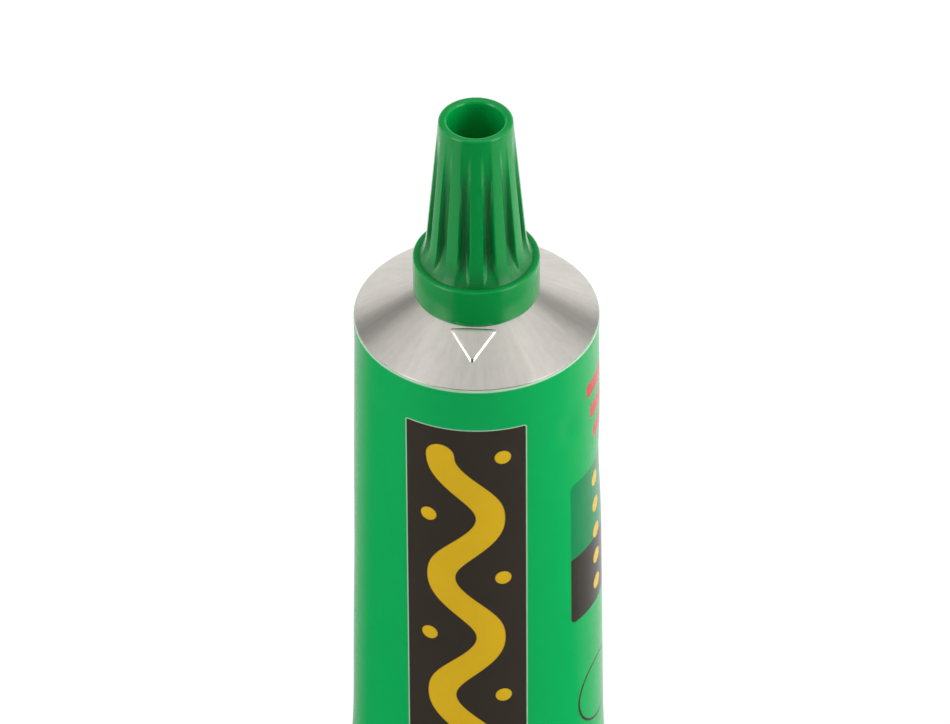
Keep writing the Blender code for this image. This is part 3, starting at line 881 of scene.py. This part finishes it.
# %% Shoulder mesh
SHOULDER_COLUMNS = 192
SHOULDER_SLOPE = math.radians(29)
SHOULDER_WALL = 0.6 * MM
CONE_FOOT = SLEEVE_TOP + 0.8 * MM * math.tan((math.pi / 2 - SHOULDER_SLOPE) / 2)
CONE_RADIUS = 12.47 * MM
CONE_UNDER_RADIUS = 12.0 * MM
CONE_DROP = 0.69 * MM
NECK_RADIUS = 4.5 * MM
NECK_BORE = 3.3 * MM
NECK_RINGS = 40
NOZZLE_RADIUS = 2.7 * MM
NOZZLE_BORE = 1.5 * MM
TURNED_EDGE = 0.3 * MM


def cone_height(radius):
    """Height of the shoulder's cone at a radius."""
    return CONE_FOOT + (TUBE_RADIUS - radius) * math.tan(SHOULDER_SLOPE)


NECK_FOOT = cone_height(NECK_RADIUS)
NECK_TOP = NECK_FOOT + 3.6 * MM
NOZZLE_TOP = NECK_TOP + 5 * MM
outline = [(12.30 * MM, 94.6 * MM), (CONE_RADIUS, 94.85 * MM)]
outline += rounded(
    [
        (CONE_RADIUS, 94.9 * MM, 0),
        (CONE_RADIUS, cone_height(CONE_RADIUS), 0.06 * MM),
        (NECK_RADIUS, NECK_FOOT, 0),
    ],
    7,
)[1:]
neck_heights = np.linspace(NECK_FOOT, NECK_TOP - TURNED_EDGE, NECK_RINGS)
outline += [(NECK_RADIUS, z) for z in neck_heights[1:-1]]
for foot, wide, top, narrow in (
    (NECK_FOOT, NECK_RADIUS, NECK_TOP, NOZZLE_RADIUS),
    (NECK_TOP, NOZZLE_RADIUS, NOZZLE_TOP, NOZZLE_BORE),
):
    outline += rounded([(wide, foot, 0), (wide, top, TURNED_EDGE), (narrow, top, 0)])[1:]
outline += [(NOZZLE_BORE, NECK_TOP + 1.2 * MM), (NECK_BORE, NECK_TOP - 0.6 * MM)]
outline += [(r, cone_height(r) - CONE_DROP) for r in (NECK_BORE, CONE_UNDER_RADIUS)]
shoulder = skin(
    "tube_shoulder", [ring(r, z, SHOULDER_COLUMNS) for r, z in outline], joined=True
)
shape_with(
    shoulder,
    thread,
    Pitch=THREAD_PITCH,
    Depth=THREAD_DEPTH,
    Surface_Radius=NECK_RADIUS,
    Low=NECK_FOOT + 0.31 * MM,
    High=NECK_TOP + 0.1 * MM,
    Finish=aluminium,
)
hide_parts("tube_shell")
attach(shoulder, "tube")
print("shoulder top in mm:", round(NOZZLE_TOP / MM, 2))

# %% [markdown]
# ## The gel
# The filling follows the sleeve a little inside its wall, and goes on up the cone and neck to the
# nozzle's tip. It can't be seen, but a cut or a look through the nozzle should find it there.

# %% Gel mesh
GEL_GAP = 0.3 * MM
GEL_RINGS = 40
GEL_SHOULDER = BORE_RADIUS - GEL_GAP
GEL_NECK = 3.0 * MM
GEL_TIP = 1.2 * MM

gel_low, gel_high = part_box("gel_fill")
gel_drop = (SHOULDER_WALL + GEL_GAP) / math.cos(SHOULDER_SLOPE)
gel_rings = [sleeve_ring(z, -GEL_GAP) for z in np.linspace(gel_low.z, SLEEVE_TOP, GEL_RINGS)]
gel_rings += [
    ring(r, z, SLEEVE_COLUMNS)
    for r, z in (
        (GEL_SHOULDER, cone_height(GEL_SHOULDER) - gel_drop),
        (GEL_NECK, cone_height(GEL_NECK) - gel_drop),
        (GEL_NECK, NECK_TOP - 0.9 * MM),
        (GEL_TIP, NECK_TOP + 0.9 * MM),
        (GEL_TIP, gel_high.z),
    )
]
gel = skin("gel_body", gel_rings)
gel.data.materials.append(gel_finish)
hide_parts("gel_fill")
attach(gel, "tube")
print("gel height in mm:", round((gel_high.z - gel_low.z) / MM, 2))

# %% [markdown]
# ## Raised triangle
# A plain triangle stands up from the shoulder with one corner pointing down the slope. A cone can
# be unrolled flat, so the triangle is drawn on the unrolled cone and then rolled up: distance from
# the cone's tip stays, and angles grow by the cone's spread. Its walls lean, and its top edge is
# eased.

# %% Triangle mesh
MARK_SIDE = 4.55 * MM
MARK_MIDDLE = MARK_SIDE / (2 * math.sqrt(3))
MARK_WIDEN = 1.11
MARK_RISE = 0.155 * MM
MARK_SUNK = -0.2 * MM
MARK_START = 6.58 * MM
MARK_TURN = math.radians(3.0)
MARK_LEAN = 1.15
MARK_ROUND = 0.2 * MM


def on_shoulder(across, down, lift):
    """Roll a point of the flat drawing onto the cone."""
    spread = math.cos(SHOULDER_SLOPE)
    slant = math.hypot(MARK_START / spread + down, across)
    turn = math.atan2(across, MARK_START / spread + down) / spread + MARK_TURN - math.pi / 2
    radius = slant * spread + lift * math.sin(SHOULDER_SLOPE)
    height = cone_height(slant * spread) + lift * spread
    return radius * math.cos(turn), radius * math.sin(turn), height


def drawn(degrees):
    """Unit step on the flat drawing at an angle."""
    return np.array((math.cos(math.radians(degrees)), -math.sin(math.radians(degrees))))


def triangle_ring(inset, lift):
    """Triangle with eased corners, drawn in by inset and raised by lift."""
    ease = min(MARK_ROUND, MARK_MIDDLE - inset)
    reach = 2 * max(MARK_MIDDLE - inset - MARK_ROUND, 0.0)
    points = []
    for aim in (210, 330, 450):
        tip, target = drawn(aim) * reach, drawn(aim + 120) * reach
        points += [tip + ease * drawn(aim + turn) for turn in np.linspace(-60, 60, 7)]
        for share in np.linspace(0.0, 1.0, 10)[1:-1]:
            points.append(tip + (target - tip) * share + ease * drawn(aim + 60))
    return [on_shoulder(x * MARK_WIDEN, MARK_MIDDLE - y, lift) for x, y in points]


mark_rings = [[on_shoulder(0.0, MARK_MIDDLE, MARK_SUNK)]]
mark_rings += [triangle_ring(-0.02 * MM, MARK_SUNK), triangle_ring(0.0, 0.0)]
for leaned, raised in ((0.08, 0.08), (0.9, 0.9), (1.06, 0.98)):
    mark_rings += [triangle_ring(MARK_RISE * MARK_LEAN * leaned, MARK_RISE * raised)]
mark_rings += [triangle_ring(MARK_MIDDLE * share, MARK_RISE) for share in (0.4, 0.7)]
mark_rings += [[on_shoulder(0.0, MARK_MIDDLE, MARK_RISE)]]
mark = skin("shoulder_triangle", mark_rings)
mark.data.materials.append(aluminium)
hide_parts("tube_shell")
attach(mark, "tube")
print("triangle faces:", len(mark.data.polygons))

# %% [markdown]
# ## The cap's blank
# The cap is turned like a chess piece first: bore, skirt, a flare that sweeps in to a slow taper,
# the lip, and the hollow end with a spike for piercing the membrane. The skirt's underside follows
# the shoulder's cone. Rings are close where the thread and the flutes will need points.

# %% Cap blank
CAP_COLUMNS = 432
CAP_SIT = 0.27 * MM
CAP_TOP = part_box("screw_cap")[1].z - CAP_SIT
CAP_BASE = CAP_TOP - 21.6 * MM
SKIRT_RADIUS = 6.475 * MM
SKIRT_TOP = CAP_BASE + 4.3 * MM
FLARE_TOP = SKIRT_TOP + 2.6 * MM
FLARE_WIDEN = 0.5 * MM
FLUTE_TOP = CAP_TOP - 1.2 * MM
TIP_RADIUS = 3.76 * MM
MOUTH_RADIUS = 2.88 * MM
HOLLOW_RADIUS = MOUTH_RADIUS - 0.12 * MM
LIP_OUTER_ROUND = 0.4 * MM
LIP_INNER_ROUND = 0.5 * MM
TAPER = math.tan(math.radians(5.1))
SEPTUM = NOZZLE_TOP + 2.05 * MM
FLOOR = SEPTUM + 1.2 * MM
SPIKE_RADIUS = 0.9 * MM
SPIKE_HEIGHT = 4.2 * MM
NOZZLE_POCKET = 3.0 * MM
THREAD_BORE = 4.8 * MM
THREAD_TOP = NECK_TOP + 0.3 * MM


def taper_radius(height):
    """Radius over the ridges, with the flare added near the skirt."""
    reach = min(max((FLARE_TOP - height) / (FLARE_TOP - SKIRT_TOP), 0.0), 1.0)
    return TIP_RADIUS + (CAP_TOP - height) * TAPER + FLARE_WIDEN * reach**2


cap_outline = [(0.0, SEPTUM), (NOZZLE_POCKET, SEPTUM), (NOZZLE_POCKET, THREAD_TOP)]
cap_outline += [(THREAD_BORE, z) for z in np.linspace(THREAD_TOP, NECK_FOOT + 0.6 * MM, 36)]
cap_outline += rounded(
    [
        (THREAD_BORE, NECK_TOP, 0),
        (THREAD_BORE, cone_height(THREAD_BORE) + 0.3 * MM - CAP_SIT, 0.1 * MM),
        (SKIRT_RADIUS, CAP_BASE, 0.08 * MM),
        (SKIRT_RADIUS, SKIRT_TOP, 0.3 * MM),
        (taper_radius(SKIRT_TOP), SKIRT_TOP, 0),
    ]
)[1:]
for low, high, count in ((SKIRT_TOP, FLARE_TOP, 24), (FLARE_TOP, FLUTE_TOP, 46)):
    cap_outline += [(taper_radius(z), z) for z in np.linspace(low, high, count)[1:]]
cap_outline += rounded(
    [
        (taper_radius(FLUTE_TOP), FLUTE_TOP, 0),
        (TIP_RADIUS, CAP_TOP, LIP_OUTER_ROUND),
        (MOUTH_RADIUS, CAP_TOP, LIP_INNER_ROUND),
        (HOLLOW_RADIUS, FLOOR, 0.3 * MM),
        (SPIKE_RADIUS, FLOOR, 0.15 * MM),
        (0.08 * MM, FLOOR + SPIKE_HEIGHT - 0.1 * MM, 0),
        (0.0, FLOOR + SPIKE_HEIGHT, 0),
    ],
    7,
)[1:]
cap = skin("cap_body", [ring(r, z, CAP_COLUMNS) for r, z in cap_outline])
print("cap faces:", len(cap.data.polygons), "top in mm:", round(CAP_TOP / MM, 2))

# %% [markdown]
# ## Flutes
# Twelve grooves give the fingers a grip. Each is a rounded scoop, deepest just above the flare and
# running out to nothing at the top, where the cap stays round. The tree turns the angle into a
# place within one groove and pulls the points in. It also stores how deep each point went, and how
# near it lies to the skirt's ledge, because the material paints shade into both and makes them
# rougher.

# %% Geometry nodes: flutes
FLUTE_COUNT = 12.0
FLUTE_DEPTH = 0.75 * MM
FLUTE_CORE = 3.4 * MM
# Strength of the painted shade on the flare next to the skirt's ledge.
FLARE_PAINTED_SHADE = 0.42

flutes, given, result = start_group(
    "flute_scoops",
    "GeometryNodeTree",
    [
        ("Geometry", "NodeSocketGeometry", None),
        ("Count", "NodeSocketFloat", FLUTE_COUNT),
        ("Depth", "NodeSocketFloat", FLUTE_DEPTH),
        ("Ridge Share", "NodeSocketFloat", 0.5),
        ("Squareness", "NodeSocketFloat", 3.0),
        ("Turn", "NodeSocketFloat", 0.0),
        ("Foot", "NodeSocketFloat", 0.0),
        ("Deepest", "NodeSocketFloat", 0.0),
        ("Top", "NodeSocketFloat", 1.0),
        ("Core Radius", "NodeSocketFloat", FLUTE_CORE),
        ("Ledge Radius", "NodeSocketFloat", SKIRT_RADIUS),
        ("Settle Top", "NodeSocketFloat", 1.0),
        ("Finish", "NodeSocketMaterial", None),
    ],
    [("Geometry", "NodeSocketGeometry")],
)
spot = add(flutes, "GeometryNodeInputPosition").outputs[0]
where, flat, radius = from_axis(flutes, spot)
bearing = calc(flutes, "ARCTAN2", where["Y"], where["X"])
angle = calc(flutes, "SUBTRACT", bearing, given["Turn"])
lap = calc(flutes, "MULTIPLY", angle, calc(flutes, "DIVIDE", given["Count"], 2 * math.pi))
within = calc(flutes, "FLOORED_MODULO", lap, 1.0)
from_groove = calc(flutes, "ABSOLUTE", calc(flutes, "SUBTRACT", within, 0.5))
half_groove = calc(flutes, "MULTIPLY_ADD", given["Ridge Share"], -0.5, 0.5)
across = calc(flutes, "DIVIDE", from_groove, half_groove)
hump = calc(flutes, "POWER", across, given["Squareness"])
scoop = calc(flutes, "MAXIMUM", calc(flutes, "SUBTRACT", 1.0, hump), 0.0)
rise = ramp(flutes, where["Z"], given["Foot"], given["Deepest"])
fall = ramp(flutes, where["Z"], given["Top"], given["Deepest"])
on_outside = calc(flutes, "GREATER_THAN", radius, given["Core Radius"])
amount = product(flutes, scoop, on_outside, rise, fall)
pull = product(flutes, amount, given["Depth"], -1.0)
outward = vectors(flutes, "NORMALIZE", flat)[0]
offset = vectors(flutes, "SCALE", outward, Scale=pull)[0]

# %% Geometry nodes: painted shade in the flutes and on the flare
# Painted shade: darker on the flare towards the skirt's ledge, stored for the cap's colour and
# roughness.
flare_shade = ramp(flutes, where["Z"], given["Settle Top"], given["Foot"], 0.0, FLARE_PAINTED_SHADE)
inside_ledge = calc(flutes, "LESS_THAN", radius, given["Ledge Radius"])
just_below = calc(flutes, "SUBTRACT", given["Foot"], 0.05 * MM)
above_foot = calc(flutes, "GREATER_THAN", where["Z"], just_below)
on_flare = product(flutes, flare_shade, on_outside, inside_ledge, above_foot)
painted_shade_amount = calc(flutes, "MAXIMUM", amount, on_flare)
stored = add(
    flutes,
    "GeometryNodeStoreNamedAttribute",
    {"Geometry": given["Geometry"], "Name": "groove", "Value": painted_shade_amount},
)
end_shape(flutes, given, result, stored.outputs[0], offset)
print("flute nodes:", len(flutes.nodes))

# %% Cut the flutes and the thread
CAP_REST_TURN = math.radians(6)
FLUTE_DEEPEST = SKIRT_TOP + 3.6 * MM

shape_with(
    cap,
    flutes,
    Count=FLUTE_COUNT,
    Depth=FLUTE_DEPTH,
    Ridge_Share=0.5,
    Squareness=3.0,
    Turn=CAP_REST_TURN - math.pi / 2,
    Foot=SKIRT_TOP,
    Deepest=FLUTE_DEEPEST,
    Top=FLUTE_TOP,
    Core_Radius=FLUTE_CORE,
    Ledge_Radius=SKIRT_RADIUS - 0.35 * MM,
    # Top of the painted shade on the flare.
    Settle_Top=FLUTE_DEEPEST,
    Finish=cap_plastic,
)
shape_with(
    cap,
    thread,
    Pitch=THREAD_PITCH,
    Depth=THREAD_DEPTH,
    Surface_Radius=THREAD_BORE,
    Low=NECK_FOOT + 0.62 * MM,
    High=NECK_TOP + 0.31 * MM,
    Finish=cap_plastic,
)
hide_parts("screw_cap")
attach(cap, "cap")
print("cut cap points:", len(cap.data.vertices))

# %% [markdown]
# ## Floor and light
# A catalogue picture is made on a white sweep with large soft lights. The world is white for what
# the camera sees, a little darker overhead for what the gloss mirrors, and dimmer still as a light
# source, so that the lamps shape the form. Two narrow lamps at the sides only add glints.

# %% World
WORLD_LIGHT = 0.50
MIRRORED_LOW = 1.0
MIRRORED_SIDES = 0.64
MIRRORED_TOP = 0.70
MIRRORED_LEAN = 0.10

world = bpy.data.worlds.new("studio")
bpy.context.scene.world = world
world.use_nodes = True
tree = world.node_tree
sky = tree.nodes["Background"]
sky.inputs["Color"].default_value = (1.0, 1.0, 1.0, 1.0)
path = add(tree, "ShaderNodeLightPath").outputs
seen = calc(tree, "MAXIMUM", path["Is Camera Ray"], path["Is Transmission Ray"])
direction = add(tree, "ShaderNodeTexCoord").outputs["Generated"]
aim = add(tree, "ShaderNodeSeparateXYZ", {0: direction}).outputs
high = ramp(tree, aim["Z"], 0.4, 1.0, MIRRORED_SIDES, MIRRORED_TOP)
low = ramp(tree, aim["Z"], 0.36, 0.16, 0.0, MIRRORED_LOW - MIRRORED_SIDES)
rightward = vectors(tree, "DOT_PRODUCT", direction, level)["Value"]
lean = calc(tree, "MULTIPLY_ADD", rightward, MIRRORED_LEAN, 1.0)
mirrored = calc(tree, "MULTIPLY", calc(tree, "ADD", high, low), lean)
mirrored = calc(tree, "MINIMUM", mirrored, 1.0)
strength = add(tree, "ShaderNodeMix", {0: path["Is Glossy Ray"], 2: WORLD_LIGHT, 3: mirrored})
tree.links.new(calc(tree, "MAXIMUM", strength.outputs[0], seen), sky.inputs["Strength"])
bpy.context.scene.view_settings.view_transform = "Standard"
print("world nodes:", len(tree.nodes))

# %% Floor
FLOOR_HALF = 3.0
FLOOR_WHITE = (0.95, 0.95, 0.95)
FLOOR_GLOW = 0.75


def sheet(name, corners, paint):
    """Flat object of one face."""
    mesh = bpy.data.meshes.new(name)
    mesh.from_pydata(corners, [], [tuple(range(len(corners)))])
    mesh.materials.append(paint)
    made = bpy.data.objects.new(name, mesh)
    bpy.context.scene.collection.objects.link(made)
    return made


paper, tree, shader = finish("white_paper", 0.9)
shader.inputs["Specular IOR Level"].default_value = 0.0
spot = add(tree, "ShaderNodeTexCoord").outputs["Object"]
grain = call(tree, variation, Place=spot, Scale=120.0, Amount=0.01)
tree.links.new(shaded(tree, FLOOR_WHITE, grain["Shade"]), shader.inputs["Base Color"])
camera_ray = add(tree, "ShaderNodeLightPath").outputs["Is Camera Ray"]
glow = add(tree, "ShaderNodeEmission", {"Color": (1.0, 1.0, 1.0, 1.0), "Strength": 1.0})
share = calc(tree, "MULTIPLY", camera_ray, FLOOR_GLOW)
mixed = add(tree, "ShaderNodeMixShader", {0: share, 1: shader.outputs[0], 2: glow.outputs[0]})
tree.links.new(mixed.outputs[0], tree.nodes["Material Output"].inputs["Surface"])
floor_corners = [(-1, -1), (1, -1), (1, 1), (-1, 1)]
floor = sheet("floor", [(x * FLOOR_HALF, y * FLOOR_HALF, 0) for x, y in floor_corners], paper)
print("floor width in metres:", 2 * FLOOR_HALF)

# %% Lamps
AIM = (0.0, 0.0, 80 * MM)
SIDE_DISTANCE = 0.6
SIDE_HEIGHT = 0.33


def softbox(name, place, wide, tall, power):
    """Rectangular area lamp that looks at the tube and is not seen by the camera."""
    lamp = bpy.data.lights.new(name, "AREA")
    lamp.shape = "RECTANGLE"
    lamp.size = wide
    lamp.size_y = tall
    lamp.energy = power
    made = bpy.data.objects.new(name, lamp)
    made.location = place
    made.rotation_mode = "QUATERNION"
    made.rotation_quaternion = (Vector(AIM) - Vector(place)).to_track_quat("-Z", "Y")
    made.visible_camera = False
    bpy.context.scene.collection.objects.link(made)
    return made


def seen_from(azimuth, distance, height):
    """Place at an angle from the camera's own azimuth, counted to the right."""
    turn = VIEW_AZIMUTH + math.radians(azimuth)
    return distance * math.sin(turn), -distance * math.cos(turn), height


overhead = softbox("overhead_softbox", (0.0, 0.18, 0.9), wide=0.8, tall=0.8, power=3.7)
overhead.visible_glossy = False
for name, turn, power in (("left_softbox", -80, 2.0), ("right_softbox", 80, 3.4)):
    lamp = softbox(name, seen_from(turn, SIDE_DISTANCE, SIDE_HEIGHT), 0.3, 0.5, power)
    lamp.visible_glossy = False
for name, turn in (("left_glint", -58), ("right_glint", 58)):
    lamp = softbox(name, seen_from(turn, SIDE_DISTANCE, SIDE_HEIGHT), 0.3, 0.5, 1.4)
    lamp.visible_diffuse = False

# %% [markdown]
# ## Dark cards
# Glossy things need something dark to mirror, or they look chalky. Photographers stand dark cards
# just outside the picture. These are seen only by reflections: they cast no shadow and take no
# light. A round one lies under the tube, a black one is folded up in front of it below the camera,
# a dim one stands high behind, and two sets of strips stand where the shoulder's sides mirror them.

# %% Card helpers
GREY_TURN = -15
GREY_REACH = (0.12, 0.17)


def card_finish(name, front, rear, lift=0.0):
    """Grey that needs no light, from the front of the tube to its rear; lift is added far out."""
    made, tree, _ = finish(name, 0.9)
    spot = add(tree, "ShaderNodeTexCoord").outputs["Object"]
    aim = vectors(tree, "NORMALIZE", spot)[0]
    ahead = vectors(tree, "DOT_PRODUCT", aim, seen_from(GREY_TURN, 1.0, 0.0))["Value"]
    near = ramp(tree, ahead, -0.1, -0.95, front, rear)
    far = ramp(tree, vectors(tree, "LENGTH", spot)["Value"], *GREY_REACH, 0.0, lift)
    grain = call(tree, variation, Place=spot, Scale=90.0, Amount=0.1)
    even = calc(tree, "MULTIPLY", calc(tree, "ADD", near, far), grain["Shade"])
    glow = add(tree, "ShaderNodeEmission", {"Strength": calc(tree, "MINIMUM", even, 1.0)})
    tree.links.new(glow.outputs[0], tree.nodes["Material Output"].inputs["Surface"])
    return made


def card(name, corners, paint):
    """Card that only reflections can see."""
    made = sheet(name, corners, paint)
    made.visible_camera = False
    made.visible_diffuse = False
    made.visible_transmission = False
    made.visible_shadow = False
    return made


def beside(across, ahead, height):
    """Place given across the picture and towards the camera."""
    x, y, _ = seen_from(90, across, 0.0)
    u, v, _ = seen_from(0, ahead, 0.0)
    return x + u, y + v, height


def in_mirror(turn, tilt, distance):
    """Place that the camera sees in a face of the shoulder that leans by tilt towards turn."""
    tilt = math.radians(tilt)
    lean = Vector(seen_from(turn, math.sin(tilt), math.cos(tilt)))
    aim = 2 * lean.dot(back) * lean - back
    return Vector((0.0, 0.0, 97 * MM)) + aim * distance


# %% Cards
BASE_RADIUS = 0.6
REAR_DISTANCE = 0.5
REAR_CORNERS = ((158, 0.33), (202, 0.33), (202, 0.95), (158, 0.95))
FRONT_LEFT = -86 * MM
FRONT_RIGHT = 97 * MM
FRONT_AHEAD = 0.1
FRONT_LOW = 1 * MM
FRONT_HIGH = 0.24
STRIP_TILT = 6
STRIP_DISTANCE = 0.40

black = card_finish("black_card", 0.012, 0.012)
grey = card_finish("grey_card", 0.03, 0.85, 0.60)
dusk = card_finish("dusk_card", 0.14, 0.14)
haze = card_finish("haze_card", 0.24, 0.24)
dim = card_finish("dim_card", 0.2, 0.2)
card("card_base", [seen_from(turn, BASE_RADIUS, 0.5 * MM) for turn in range(0, 360, 5)], grey)
card("card_high", [seen_from(turn, REAR_DISTANCE, z) for turn, z in REAR_CORNERS], dim)
for name, edges in (
    ("card_below", ((FRONT_AHEAD, FRONT_LOW), (0.0, FRONT_LOW))),
    ("card_front", ((FRONT_AHEAD, FRONT_LOW), (FRONT_AHEAD, FRONT_HIGH))),
):
    first, second = edges
    corners = [beside(x, *first) for x in (FRONT_LEFT, FRONT_RIGHT)]
    corners += [beside(x, *second) for x in (FRONT_RIGHT, FRONT_LEFT)]
    card(name, corners, black)
for name, near, far, paint in (("card_left", -65, -83, dusk), ("card_right", 66, 85, haze)):
    for low in range(10, 46, STRIP_TILT):
        high = low + STRIP_TILT
        corners = ((near, low), (far, low), (far, high), (near, high))
        places = [in_mirror(turn, tilt, STRIP_DISTANCE) for turn, tilt in corners]
        card(f"{name}_{low}", places, paint)
